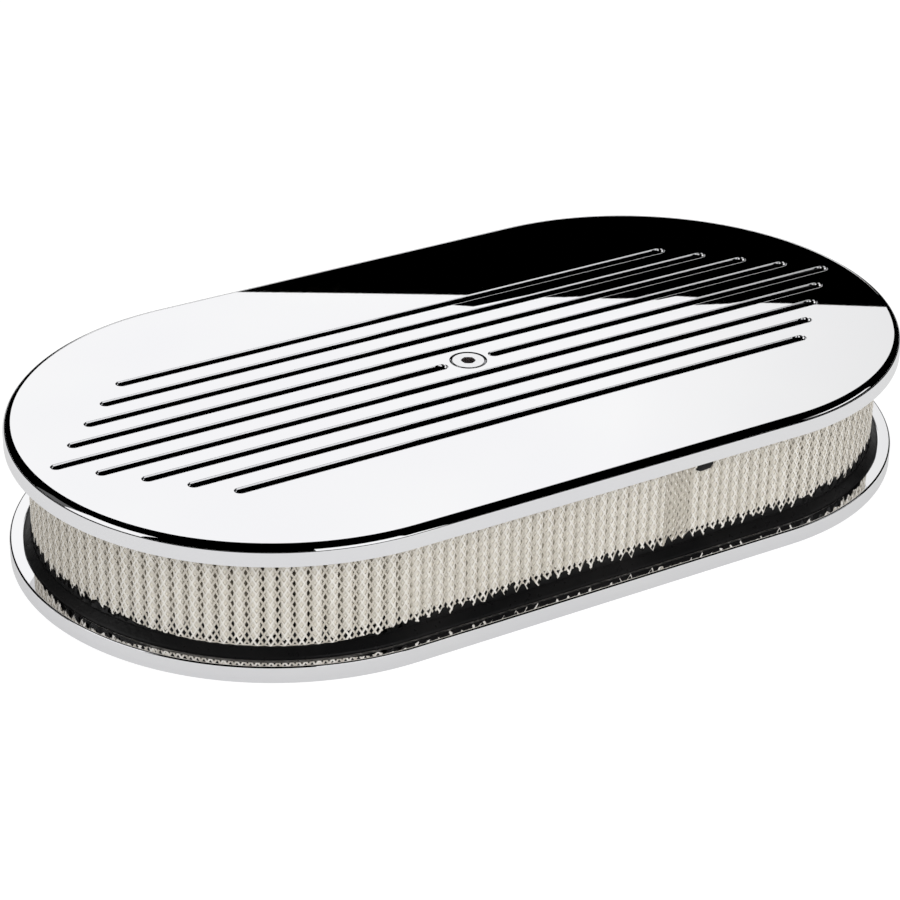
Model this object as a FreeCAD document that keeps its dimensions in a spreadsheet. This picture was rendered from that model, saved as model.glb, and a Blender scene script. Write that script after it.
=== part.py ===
import FreeCAD, Part
import math
import os

import Sketcher
from FreeCAD import Vector

# Oval air cleaner for one four-barrel carburettor. Millimetres, +Z up. The origin is the centre of the
# neck opening at the underside of the base, X runs along the oval and Y across it.

SIZES = [
    # Outline shared by the lid and the base
    ("plate_radius", 108.0),
    ("straight_length", 176.0),
    # Shallow seats that the element stands in, one in each plate
    ("seat_depth", 1.0),
    ("seat_clearance", 0.4),
    # Base
    ("base_thickness", 7.1),
    ("base_edge_bevel", 0.5),
    ("neck_radius", 65.4),
    ("neck_depth", 3.5),
    ("neck_ledge", 1.0),
    ("gasket_width", 4.4),
    ("gasket_thickness", 1.6),
    ("gasket_clearance", 0.1),
    # Element: pleated paper between two screens, cast into a urethane seal at each end
    ("element_height", 44.5),
    ("element_inset", 5.4),
    ("seal_height", 5.5),
    ("seal_lip", 3.2),
    ("seal_lip_bevel", 3.0),
    ("seal_inner_lip", 0.6),
    ("screen_thickness", 0.8),
    ("screen_strand", 2.2),
    ("screen_cell_height", 23.0),
    ("outer_cell_width", 24.0),
    ("inner_cell_width", 44.0),
    ("pleat_depth", 15.2),
    ("pleat_pitch", 4.9),
    ("pleat_tip_depth", 2.8),
    ("pleat_clearance", 0.2),
    # Lid
    ("lid_thickness", 8.7),
    ("lid_edge_bevel", 1.93),
    ("lid_bevel_break", 0.71),
    ("groove_count", 9),
    ("groove_pitch", 12.7),
    ("groove_radius", 2.4),
    ("groove_depth", 2.2),
    ("groove_reach", 186.0),
    ("groove_step", 12.9),
    ("groove_centre_gap", 9.9),
    # Hold-down nut, flush in the middle of the lid
    ("nut_head_radius", 6.9),
    ("nut_head_height", 3.2),
    ("nut_head_clearance", 0.35),
    ("nut_barrel_radius", 5.0),
    ("nut_barrel_clearance", 0.3),
    ("nut_length", 17.0),
    ("nut_socket_width", 5.5),
    ("nut_socket_depth", 3.6),
    ("nut_thread_radius", 2.6),
    ("nut_thread_depth", 11.5),
    ("washer_thickness", 0.8),
    ("washer_clearance", 0.15),
]

# Radii and heights that follow from the sizes above
RECESS_RADIUS = "sizes.neck_radius - sizes.neck_ledge"
THROAT_RADIUS = RECESS_RADIUS + " - sizes.gasket_width"
SEAL_OUTER = "sizes.plate_radius - sizes.element_inset"
SCREEN_OUTER = SEAL_OUTER + " - sizes.seal_lip"
SCREEN_INNER = SCREEN_OUTER + " - sizes.screen_thickness"
PLEAT_OUTER = SCREEN_INNER + " - sizes.pleat_clearance"
PLEAT_INNER = PLEAT_OUTER + " - sizes.pleat_depth"
CORE_OUTER = PLEAT_INNER + " - sizes.pleat_clearance"
CORE_INNER = CORE_OUTER + " - sizes.screen_thickness"
SEAL_INNER = CORE_INNER + " - sizes.seal_inner_lip"
SEAT_RADIUS = SEAL_OUTER + " + sizes.seat_clearance"
ELEMENT_BOTTOM = "sizes.base_thickness - sizes.seat_depth"
ELEMENT_TOP = ELEMENT_BOTTOM + " + sizes.element_height"
MEDIA_BOTTOM = ELEMENT_BOTTOM + " + sizes.seal_height"
MEDIA_HEIGHT = "sizes.element_height - 2 * sizes.seal_height"
MEDIA_TOP = ELEMENT_TOP + " - sizes.seal_height"
LID_BOTTOM = ELEMENT_TOP + " - sizes.seat_depth"
LID_TOP = LID_BOTTOM + " + sizes.lid_thickness"
HEAD_BOTTOM = LID_TOP + " - sizes.nut_head_height"
WASHER_BOTTOM = HEAD_BOTTOM + " - sizes.washer_thickness"
THREAD_BOTTOM = LID_TOP + " - sizes.nut_length"

doc = FreeCAD.newDocument("air_cleaner")


def make_size_sheet():
    """Write the driving sizes to the document's sheet, one named cell each."""
    sheet = doc.addObject("Spreadsheet::Sheet", "sizes")
    for row, (alias, number) in enumerate(SIZES, start=1):
        sheet.set(f"A{row}", alias.replace("_", " "))
        sheet.set(f"B{row}", str(number))
        sheet.setAlias(f"B{row}", alias)
    doc.recompute()


def measure(expression):
    """Work out a length from the sheet, as a plain number."""
    gauge.setExpression("reading", expression)
    gauge.recompute()
    return gauge.reading


def origin_plane(body, role):
    """Return the body's own origin plane, such as XY_Plane."""
    return next(item for item in body.Origin.OriginFeatures if item.Role == role)


def make_body(name):
    """Start a sub-part whose label is its file name."""
    body = doc.addObject("PartDesign::Body", name)
    body.Label = name
    return body


def make_sketch(body, name, role="XY_Plane", height=None):
    """Attach a sketch to an origin plane, raised to a height where one is given."""
    sketch = body.newObject("Sketcher::SketchObject", name)
    sketch.AttachmentSupport = [(origin_plane(body, role), "")]
    sketch.MapMode = "FlatFace"
    if height:
        sketch.setExpression("AttachmentOffset.Base.z", height)
    return sketch


def bind(sketch, name, expression, kind, *where):
    """Add a dimension to a sketch and tie it to the sheet."""
    index = sketch.addConstraint(Sketcher.Constraint(kind, *where, measure(expression)))
    sketch.renameConstraint(index, name)
    sketch.setExpression(f"Constraints.{name}", expression)


def sketch_line(sketch, start, end):
    """Draw one straight side."""
    return sketch.addGeometry(Part.LineSegment(start, end), False)


def sketch_arc(sketch, centre, radius, start, end):
    """Draw one arc, anticlockwise between two angles."""
    circle = Part.Circle(centre, Vector(0, 0, 1), radius)
    return sketch.addGeometry(Part.ArcOfCircle(circle, start, end), False)


def draw_circle(sketch, name, radius):
    """Draw a circle about the sketch's origin."""
    circle = sketch.addGeometry(Part.Circle(Vector(0, 0, 0), Vector(0, 0, 1), measure(radius)), False)
    sketch.addConstraint(Sketcher.Constraint("Coincident", circle, 3, -1, 1))
    bind(sketch, name, radius, "Radius", circle)


def draw_oval(sketch, name, radius):
    """Draw the oval outline: two half circles joined by two straight sides."""
    half = measure("sizes.straight_length / 2")
    reach = measure(radius)
    right = sketch_arc(sketch, Vector(half, 0, 0), reach, -math.pi / 2, math.pi / 2)
    back = sketch_line(sketch, Vector(half, reach, 0), Vector(-half, reach, 0))
    left = sketch_arc(sketch, Vector(-half, 0, 0), reach, math.pi / 2, 3 * math.pi / 2)
    front = sketch_line(sketch, Vector(-half, -reach, 0), Vector(half, -reach, 0))
    for first, second in ((right, back), (back, left), (left, front), (front, right)):
        sketch.addConstraint(Sketcher.Constraint("Tangent", first, 2, second, 1))
    sketch.addConstraint(Sketcher.Constraint("PointOnObject", right, 3, -1))
    sketch.addConstraint(Sketcher.Constraint("Symmetric", right, 3, left, 3, -1, 1))
    sketch.addConstraint(Sketcher.Constraint("Equal", right, left))
    bind(sketch, name + "_radius", radius, "Radius", right)
    bind(sketch, name + "_straight", "sizes.straight_length", "DistanceX", left, 3, right, 3)


def draw_profile(sketch, corners):
    """Draw a closed profile from its corners, each an expression across and one for the height."""
    points = [Vector(measure(across), measure(height), 0) for across, height in corners]
    count = len(points)
    sides = [sketch_line(sketch, points[i], points[(i + 1) % count]) for i in range(count)]
    for i in range(count):
        sketch.addConstraint(Sketcher.Constraint("Coincident", sides[i], 2, sides[(i + 1) % count], 1))
    for i, (across, height) in enumerate(corners):
        if across == "0":
            sketch.addConstraint(Sketcher.Constraint("PointOnObject", sides[i], 1, -2))
        else:
            bind(sketch, f"across_{i}", across, "DistanceX", -1, 1, sides[i], 1)
        bind(sketch, f"height_{i}", height, "DistanceY", -1, 1, sides[i], 1)


def make_pad(body, name, sketch, length, downwards=False):
    """Extrude a sketch by a length tied to the sheet."""
    pad = body.newObject("PartDesign::Pad", name)
    pad.Profile = sketch
    pad.setExpression("Length", length)
    pad.Reversed = downwards
    doc.recompute()
    return pad


def make_pocket(body, name, sketch, depth, upwards=False):
    """Cut a sketch into the body, down from its plane or up from it."""
    before = body.Shape.Volume
    pocket = body.newObject("PartDesign::Pocket", name)
    pocket.Profile = sketch
    pocket.setExpression("Length", depth)
    pocket.Reversed = upwards
    doc.recompute()
    if not body.Shape.Volume < before - 1e-3:
        raise RuntimeError(f"{body.Label}: {name} cuts nothing")
    return pocket


def turn_profile(body, name, kind, points):
    """Revolve a profile in the XZ plane about the upright axis, to add or to cut."""
    sketch = make_sketch(body, name + "_profile", "XZ_Plane")
    draw_profile(sketch, points)
    before = body.Shape.Volume if body.Tip else 0.0
    turned = body.newObject(kind, name)
    turned.Profile = sketch
    turned.ReferenceAxis = (sketch, ["V_Axis"])
    turned.Angle = 360.0
    doc.recompute()
    if kind == "PartDesign::Groove" and not body.Shape.Volume < before - 1e-3:
        raise RuntimeError(f"{body.Label}: {name} cuts nothing")
    return turned


def edges_at(shape, heights):
    """Name the edges of the oval outline at some heights, leaving out those of the round openings."""
    end_centre = measure("sizes.straight_length / 2")
    names = []
    for number, edge in enumerate(shape.Edges, start=1):
        box = edge.BoundBox
        level = any(abs(box.ZMin - height) < 1e-4 and abs(box.ZMax - height) < 1e-4 for height in heights)
        if level and max(abs(box.XMin), abs(box.XMax)) > end_centre - 1.0:
            names.append(f"Edge{number}")
    return names


def bevel_outline(body, name, base, heights, size):
    """Bevel the oval outline's edges at some heights."""
    bevel = body.newObject("PartDesign::Chamfer", name)
    bevel.Base = (base, edges_at(base.Shape, [measure(height) for height in heights]))
    bevel.setExpression("Size", size)
    doc.recompute()
    return bevel


def cut_element_seat(body, height, upwards):
    """Sink the shallow seat that the element stands in and is centred by."""
    sketch = make_sketch(body, body.Name + "_seat_outline", height=height)
    draw_oval(sketch, "seat", SEAT_RADIUS)
    make_pocket(body, body.Name + "_seat", sketch, "sizes.seat_depth", upwards)


def make_base_plate():
    """Flat oval plate with the neck opening underneath and the element's seat on top."""
    body = make_body("base_plate")
    outline = make_sketch(body, "base_outline")
    draw_oval(outline, "plate", "sizes.plate_radius")
    slab = make_pad(body, "base_slab", outline, "sizes.base_thickness")
    bevel_outline(body, "base_top_edge", slab, ["sizes.base_thickness"], "sizes.base_edge_bevel")
    cut_element_seat(body, "sizes.base_thickness", upwards=False)
    for name, radius, depth in (
        ("throat", THROAT_RADIUS, "sizes.base_thickness"),
        ("gasket_recess", RECESS_RADIUS, "sizes.neck_depth + sizes.gasket_thickness"),
        ("neck", "sizes.neck_radius", "sizes.neck_depth"),
    ):
        opening = make_sketch(body, name + "_outline")
        draw_circle(opening, name, radius)
        make_pocket(body, name + "_opening", opening, depth, upwards=True)
    return body


def make_neck_gasket():
    """Flat rubber ring in its recess above the neck opening, where the carburettor's rim bears on it."""
    body = make_body("neck_gasket")
    outline = make_sketch(body, "gasket_outline", height="sizes.neck_depth")
    draw_circle(outline, "outer", RECESS_RADIUS + " - sizes.gasket_clearance")
    draw_circle(outline, "inner", THROAT_RADIUS + " + sizes.gasket_clearance")
    make_pad(body, "gasket_ring", outline, "sizes.gasket_thickness")
    return body


def make_seal(name, bottom, screen_end):
    """Urethane end seal: an oval ring cast over the ends of the pleats and screens.

    Its outer lip stands out beyond the screen and slopes down from it.
    """
    body = make_body(name)
    outline = make_sketch(body, name + "_outline", height=bottom)
    draw_oval(outline, "outer", SEAL_OUTER)
    slab = make_pad(body, name + "_slab", outline, "sizes.seal_height")
    bevel_outline(body, name + "_lip", slab, [screen_end], "sizes.seal_lip_bevel")
    opening = make_sketch(body, name + "_opening_outline", height=bottom)
    draw_oval(opening, "inner", SEAL_INNER)
    make_pocket(body, name + "_opening", opening, "sizes.seal_height", upwards=True)
    return body


def oval_place(station, per_straight, per_end, half_straight):
    """Find the foot and the outward direction at a station, counted round the oval from its front left."""
    back = station >= per_straight + per_end
    if back:
        station -= per_straight + per_end
    side = -1 if back else 1
    if station <= per_straight:
        foot = Vector(side * half_straight * (2 * station / per_straight - 1), 0, 0)
        return foot, Vector(0, -side, 0)
    turn = math.radians(180 * (station - per_straight) / per_end - 90)
    return Vector(side * half_straight, 0, 0), Vector(math.cos(turn), math.sin(turn), 0) * side


def oval_wall(outer_line, inner_line):
    """Raise the wall between two closed lines of corners, as tall as the open part of the element."""
    outer_wire = Part.makePolygon(outer_line + outer_line[:1])
    inner_wire = Part.makePolygon(inner_line + inner_line[:1])
    plan = Part.makeFace([outer_wire, inner_wire], "Part::FaceMakerBullseye")
    return plan.extrude(Vector(0, 0, measure(MEDIA_HEIGHT)))


def make_pleated_media():
    """Paper folded into radial pleats that fan out round the ends, as one closed zigzag ribbon."""
    outer_radius = measure(PLEAT_OUTER)
    inner_radius = measure(PLEAT_INNER)
    half_straight = measure("sizes.straight_length / 2")
    pitch = measure("sizes.pleat_pitch")
    tip = measure("sizes.pleat_tip_depth")
    per_straight = round(2 * half_straight / pitch)
    per_end = round(math.pi * inner_radius / pitch)
    outer_line = []
    inner_line = []
    for pleat in range(2 * (per_straight + per_end)):
        foot, outward = oval_place(pleat + 0.5, per_straight, per_end, half_straight)
        outer_line.append(foot + outward * outer_radius)
        inner_line.append(foot + outward * (outer_radius - tip))
        foot, outward = oval_place(pleat + 1.0, per_straight, per_end, half_straight)
        outer_line.append(foot + outward * (inner_radius + tip))
        inner_line.append(foot + outward * inner_radius)
    media = doc.addObject("Part::Feature", "pleated_media")
    media.Label = "pleated_media"
    media.Shape = oval_wall(outer_line, inner_line)
    media.Placement.Base = Vector(0, 0, measure(MEDIA_BOTTOM))
    return media


def make_screen(name, outer, inner, cell_size):
    """Expanded diamond screen: a thin wall folded along the middle of every cell round the ends.

    Two staggered rows of diamonds run round it, each cut straight outwards through its fold.
    """
    outer_radius = measure(outer)
    inner_radius = measure(inner)
    half_straight = measure("sizes.straight_length / 2")
    cell_width = measure(cell_size)
    cell_height = measure("sizes.screen_cell_height")
    per_straight = round(2 * half_straight / cell_width)
    per_end = round(math.pi * outer_radius / cell_width)
    folds = []
    for start in (0, per_straight + per_end):
        for half_cell in range(2 * per_end + 1):
            station = start + per_straight + half_cell / 2
            folds.append(oval_place(station, per_straight, per_end, half_straight))
    wall = doc.addObject("Part::Feature", name + "_wall")
    wall.Shape = oval_wall(
        [foot + outward * outer_radius for foot, outward in folds],
        [foot + outward * inner_radius for foot, outward in folds],
    )
    open_share = 1 - measure("sizes.screen_strand") * math.hypot(1 / cell_width, 1 / cell_height)
    rise = Vector(0, 0, cell_height / 2 * open_share)
    reach = 4 * (outer_radius - inner_radius)
    diamonds = []
    for row in range(2):
        height = measure(MEDIA_HEIGHT) / 2 + cell_height / 4 * (2 * row - 1)
        for column in range(2 * (per_straight + per_end)):
            foot, outward = oval_place(column + row / 2, per_straight, per_end, half_straight)
            width = math.pi * inner_radius / per_end if outward.x else 2 * half_straight / per_straight
            along = Vector(-outward.y, outward.x, 0) * (width / 2 * open_share)
            start = foot + outward * (outer_radius - reach / 2) + Vector(0, 0, height)
            corners = [start + along, start + rise, start - along, start - rise]
            face = Part.Face(Part.makePolygon(corners + corners[:1]))
            diamonds.append(face.extrude(outward * reach))
    openings = doc.addObject("Part::Feature", name + "_openings")
    openings.Shape = Part.makeCompound(diamonds)
    screen = doc.addObject("Part::Cut", name)
    screen.Label = name
    screen.Base = wall
    screen.Tool = openings
    screen.Placement.Base = Vector(0, 0, measure(MEDIA_BOTTOM))
    doc.recompute()
    return screen


def draw_slot(sketch, name, across, near, far):
    """Draw the round-ended plan of one groove, from one X to another."""
    radius, level, left, right = (measure(size) for size in ("sizes.groove_radius", across, near, far))
    low, high = level - radius, level + radius
    near_end = sketch_arc(sketch, Vector(left + radius, level, 0), radius, math.pi / 2, 3 * math.pi / 2)
    front = sketch_line(sketch, Vector(left + radius, low, 0), Vector(right - radius, low, 0))
    far_end = sketch_arc(sketch, Vector(right - radius, level, 0), radius, -math.pi / 2, math.pi / 2)
    back = sketch_line(sketch, Vector(right - radius, high, 0), Vector(left + radius, high, 0))
    for first, second in ((near_end, front), (front, far_end), (far_end, back), (back, near_end)):
        sketch.addConstraint(Sketcher.Constraint("Tangent", first, 2, second, 1))
    sketch.addConstraint(Sketcher.Constraint("Equal", near_end, far_end))
    sketch.addConstraint(Sketcher.Constraint("Horizontal", front))
    bind(sketch, name + "_radius", "sizes.groove_radius", "Radius", near_end)
    bind(sketch, name + "_across", across, "DistanceY", -1, 1, near_end, 3)
    bind(sketch, name + "_near", f"{near} + sizes.groove_radius", "DistanceX", -1, 1, near_end, 3)
    bind(sketch, name + "_far", f"{far} - sizes.groove_radius", "DistanceX", -1, 1, far_end, 3)


def make_groove_plans():
    """Outline every groove from above; their ends make a chevron at each end of the lid."""
    body = make_body("groove_plans")
    sketch = make_sketch(body, "groove_outlines", height=f"{LID_TOP} - 2 * sizes.groove_depth")
    draw_slot(sketch, "middle_right", "0", "sizes.groove_centre_gap", "sizes.groove_reach")
    draw_slot(sketch, "middle_left", "0", "-sizes.groove_reach", "-sizes.groove_centre_gap")
    for index in range(1, int(measure("sizes.groove_count")) // 2 + 1):
        tip = f"sizes.groove_reach - {index} * sizes.groove_step"
        for name, sign in (("back", ""), ("front", "-")):
            draw_slot(sketch, f"{name}_{index}", f"{sign}{index} * sizes.groove_pitch", f"-({tip})", tip)
    make_pad(body, "groove_prisms", sketch, "4 * sizes.groove_depth")
    return body


def make_groove_floors():
    """Round bars side by side along the lid, one for each groove's round floor."""
    body = make_body("groove_floors")
    sketch = make_sketch(body, "groove_sections", "YZ_Plane")
    rows = int(measure("sizes.groove_count")) // 2
    height = f"{LID_TOP} - sizes.groove_depth + sizes.groove_radius"
    for index in range(-rows, rows + 1):
        across = f"{index} * sizes.groove_pitch"
        centre = Vector(measure(across), measure(height), 0)
        circle = Part.Circle(centre, Vector(0, 0, 1), measure("sizes.groove_radius"))
        section = sketch.addGeometry(circle, False)
        name = f"row_{index + rows}"
        bind(sketch, name + "_radius", "sizes.groove_radius", "Radius", section)
        bind(sketch, name + "_height", height, "DistanceY", -1, 1, section, 3)
        if index:
            bind(sketch, name + "_across", across, "DistanceX", -1, 1, section, 3)
        else:
            sketch.addConstraint(Sketcher.Constraint("PointOnObject", section, 3, -2))
    bars = make_pad(body, "groove_bars", sketch, "2 * sizes.groove_reach")
    bars.Midplane = True
    doc.recompute()
    return body


def make_lid():
    """Thick oval lid with the element's seat underneath and nine round-bottomed grooves on top.

    Its top edge is rounded over in three bevels, each tangent to the same quarter round.
    """
    blank = make_body("lid_blank")
    outline = make_sketch(blank, "lid_outline", height=LID_BOTTOM)
    draw_oval(outline, "plate", "sizes.plate_radius")
    slab = make_pad(blank, "lid_slab", outline, "sizes.lid_thickness")
    bevelled = bevel_outline(blank, "lid_top_edge", slab, [LID_TOP], "sizes.lid_edge_bevel")
    corners = [LID_TOP, LID_TOP + " - sizes.lid_edge_bevel"]
    bevel_outline(blank, "lid_top_breaks", bevelled, corners, "sizes.lid_bevel_break")
    cut_element_seat(blank, LID_BOTTOM, upwards=True)
    seat_radius = "sizes.nut_head_radius + sizes.nut_head_clearance"
    hole_radius = "sizes.nut_barrel_radius + sizes.nut_barrel_clearance"
    turn_profile(blank, "nut_seat", "PartDesign::Groove", [
        ("0", LID_BOTTOM),
        (hole_radius, LID_BOTTOM),
        (hole_radius, WASHER_BOTTOM),
        (seat_radius, WASHER_BOTTOM),
        (seat_radius, LID_TOP),
        ("0", LID_TOP),
    ])
    grooves = doc.addObject("Part::Common", "grooves")
    grooves.Base = make_groove_floors()
    grooves.Tool = make_groove_plans()
    lid = doc.addObject("Part::Cut", "lid")
    lid.Label = "lid"
    lid.Base = blank
    lid.Tool = grooves
    doc.recompute()
    if not lid.Shape.Volume < blank.Shape.Volume - 1.0:
        raise RuntimeError("lid: the grooves cut nothing")
    return lid


def draw_hexagon(sketch, width):
    """Draw a hexagon about the sketch's origin, by its width across flats."""
    corner = f"{width} / sqrt(3)"
    reach = measure(corner)
    turns = [math.pi / 3 * i for i in range(6)]
    points = [Vector(reach * math.cos(turn), reach * math.sin(turn), 0) for turn in turns]
    sides = [sketch_line(sketch, points[i], points[(i + 1) % 6]) for i in range(6)]
    guide = sketch.addGeometry(Part.Circle(Vector(0, 0, 0), Vector(0, 0, 1), reach), True)
    sketch.addConstraint(Sketcher.Constraint("Coincident", guide, 3, -1, 1))
    for i in range(6):
        sketch.addConstraint(Sketcher.Constraint("Coincident", sides[i], 2, sides[(i + 1) % 6], 1))
        sketch.addConstraint(Sketcher.Constraint("PointOnObject", sides[i], 1, guide))
    for side in sides[1:]:
        sketch.addConstraint(Sketcher.Constraint("Equal", sides[0], side))
    sketch.addConstraint(Sketcher.Constraint("PointOnObject", sides[0], 1, -1))
    bind(sketch, "corner", corner, "Radius", guide)


def make_hold_down_nut():
    """Flush round head on a threaded barrel, turned with a hex key from above."""
    body = make_body("hold_down_nut")
    turn_profile(body, "nut_blank", "PartDesign::Revolution", [
        ("0", THREAD_BOTTOM),
        ("sizes.nut_barrel_radius", THREAD_BOTTOM),
        ("sizes.nut_barrel_radius", HEAD_BOTTOM),
        ("sizes.nut_head_radius", HEAD_BOTTOM),
        ("sizes.nut_head_radius", LID_TOP),
        ("0", LID_TOP),
    ])
    socket = make_sketch(body, "hex_outline", height=LID_TOP)
    draw_hexagon(socket, "sizes.nut_socket_width")
    make_pocket(body, "hex_socket", socket, "sizes.nut_socket_depth")
    thread = make_sketch(body, "thread_outline", height=THREAD_BOTTOM)
    draw_circle(thread, "thread", "sizes.nut_thread_radius")
    make_pocket(body, "thread_bore", thread, "sizes.nut_thread_depth", upwards=True)
    return body


def make_nut_washer():
    """Flat sealing washer under the nut's head."""
    body = make_body("nut_washer")
    outline = make_sketch(body, "washer_outline", height=WASHER_BOTTOM)
    draw_circle(outline, "outer", "sizes.nut_head_radius - sizes.washer_clearance")
    draw_circle(outline, "inner", "sizes.nut_barrel_radius + sizes.washer_clearance")
    make_pad(body, "washer_ring", outline, "sizes.washer_thickness")
    return body


def check_and_export(sub_parts):
    """Stop on any failed feature, then write each sub-part to its own file."""
    doc.recompute()
    failed = [item.Name for item in doc.Objects if {"Invalid", "Error"} & set(item.State)]
    if failed:
        raise RuntimeError("failed features: " + ", ".join(failed))
    for sub_part in sub_parts:
        shape = sub_part.Shape
        if shape.isNull() or not shape.isValid() or not shape.Solids:
            raise RuntimeError(f"{sub_part.Label} has no valid solid")
    os.makedirs("parts", exist_ok=True)
    for sub_part in sub_parts:
        sub_part.Shape.exportStep(f"parts/{sub_part.Label}.step")


make_size_sheet()
gauge = doc.addObject("App::FeaturePython", "gauge")
gauge.addProperty("App::PropertyFloat", "reading")
check_and_export([
    make_base_plate(),
    make_neck_gasket(),
    make_seal("bottom_seal", ELEMENT_BOTTOM, MEDIA_BOTTOM),
    make_seal("top_seal", MEDIA_TOP, MEDIA_TOP),
    make_pleated_media(),
    make_screen("outer_screen", SCREEN_OUTER, SCREEN_INNER, "sizes.outer_cell_width"),
    make_screen("inner_screen", CORE_OUTER, CORE_INNER, "sizes.inner_cell_width"),
    make_lid(),
    make_hold_down_nut(),
    make_nut_washer(),
])
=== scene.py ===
import math

import bmesh
import bpy
from mathutils import Matrix, Vector, noise


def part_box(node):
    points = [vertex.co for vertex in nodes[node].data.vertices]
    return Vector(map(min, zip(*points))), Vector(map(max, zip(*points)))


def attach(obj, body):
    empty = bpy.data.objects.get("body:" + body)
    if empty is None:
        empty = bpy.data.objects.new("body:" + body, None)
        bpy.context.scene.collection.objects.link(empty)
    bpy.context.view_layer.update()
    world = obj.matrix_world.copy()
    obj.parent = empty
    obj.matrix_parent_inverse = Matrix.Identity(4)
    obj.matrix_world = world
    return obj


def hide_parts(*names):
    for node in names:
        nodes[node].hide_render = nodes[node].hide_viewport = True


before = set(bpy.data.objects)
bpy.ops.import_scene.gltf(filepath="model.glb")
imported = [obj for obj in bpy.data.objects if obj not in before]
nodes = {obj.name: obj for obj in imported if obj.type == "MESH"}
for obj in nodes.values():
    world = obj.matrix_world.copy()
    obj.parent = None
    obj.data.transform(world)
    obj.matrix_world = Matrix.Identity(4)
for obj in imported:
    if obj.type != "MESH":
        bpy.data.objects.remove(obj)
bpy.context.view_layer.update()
scene = bpy.context.scene


# The base is a flat oval plate cut from aluminium and polished like the lid. The seats that
# the element stands in are milled into both plates, and the base drops over the carburettor.
class Shade:
    """A number that varies over a surface; arithmetic on it adds Math nodes."""

    def __init__(self, finish, socket):
        self.finish = finish
        self.socket = socket

    def combine(self, operation, first, second):
        node = self.finish.add("ShaderNodeMath", {"operation": operation}, {0: first, 1: second})
        return Shade(self.finish, node.outputs[0])

    def __add__(self, other):
        return self.combine("ADD", self, other)

    __radd__ = __add__

    def __sub__(self, other):
        return self.combine("SUBTRACT", self, other)

    def __rsub__(self, other):
        return self.combine("SUBTRACT", other, self)

    def __mul__(self, other):
        return self.combine("MULTIPLY", self, other)

    __rmul__ = __mul__

    def above(self, level):
        return self.combine("GREATER_THAN", self, level)

    def below(self, level):
        return self.combine("LESS_THAN", self, level)

    def within(self, low, high):
        return self.above(low) * self.below(high)


class Finish:
    """The node tree of one material or of the world, with a single call that adds any node."""

    def __init__(self, tree):
        self.tree = tree
        tree.nodes.clear()

    def add(self, kind, settings=None, inputs=None):
        node = self.tree.nodes.new(kind)
        for name, value in (settings or {}).items():
            setattr(node, name, value)
        for name, value in (inputs or {}).items():
            if isinstance(value, Shade):
                self.tree.links.new(value.socket, node.inputs[name])
            elif isinstance(value, bpy.types.NodeSocket):
                self.tree.links.new(value, node.inputs[name])
            else:
                node.inputs[name].default_value = value
        return node

    def value(self, kind, output, settings=None, inputs=None):
        return Shade(self, self.add(kind, settings, inputs).outputs[output])

    def ramp(self, factor, stops):
        node = self.add("ShaderNodeValToRGB", {}, {"Fac": factor})
        first, last = node.color_ramp.elements
        first.position, first.color = stops[0]
        last.position, last.color = stops[-1]
        for position, color in stops[1:-1]:
            node.color_ramp.elements.new(position).color = color
        return node.outputs["Color"]

    def grain(self, scale, stretch=(1.0, 1.0, 1.0), detail=3.0):
        place = self.add("ShaderNodeTexCoord").outputs["Object"]
        laid = self.add("ShaderNodeMapping", {}, {"Vector": place, "Scale": stretch}).outputs["Vector"]
        inputs = {"Vector": laid, "Scale": scale, "Detail": detail}
        return self.value("ShaderNodeTexNoise", "Fac", {}, inputs)

    def surface(self, inputs):
        shader = self.add("ShaderNodeBsdfPrincipled", {}, inputs)
        self.add("ShaderNodeOutputMaterial", {}, {"Surface": shader.outputs["BSDF"]})
        return shader

    def bump(self, height, strength, distance):
        inputs = {"Height": height, "Strength": strength, "Distance": distance}
        return self.add("ShaderNodeBump", {}, inputs).outputs["Normal"]


def new_material(name):
    material = bpy.data.materials.new(name)
    material.use_nodes = True
    return material, Finish(material.node_tree)


def dress(piece, material):
    """Give a piece or a CAD node its one material."""
    piece.data.materials.clear()
    piece.data.materials.append(material)


def polished_aluminium():
    """Mirror polish: almost even, with the faint long marks that the wheel leaves along the plate."""
    material, finish = new_material("polished_aluminium")
    wheel_marks = finish.grain(60.0, stretch=(0.6, 14.0, 6.0), detail=4.0)
    haze = finish.grain(9.0, detail=2.0)
    tint = finish.ramp(haze, [(0.35, (0.900, 0.900, 0.922, 1)), (0.65, (0.925, 0.926, 0.935, 1))])
    finish.surface({
        "Base Color": tint,
        "Metallic": 1.0,
        "Roughness": 0.002 + 0.007 * wheel_marks,
        "Normal": finish.bump(wheel_marks, 0.0003, 0.0002),
    })
    return material


aluminium = polished_aluminium()
END_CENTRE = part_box("lid")[1].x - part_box("lid")[1].y
ARC_STEPS = 48


def select_only(test, mode="EDGE"):
    """In edit mode, select the parts of the active mesh that pass a test."""
    bpy.ops.mesh.select_mode(type=mode)
    bpy.ops.mesh.select_all(action="DESELECT")
    shape = bmesh.from_edit_mesh(bpy.context.object.data)
    for part in {"VERT": shape.verts, "EDGE": shape.edges, "FACE": shape.faces}[mode]:
        if test(part):
            part.select_set(True)
    bmesh.update_edit_mesh(bpy.context.object.data)


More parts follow.
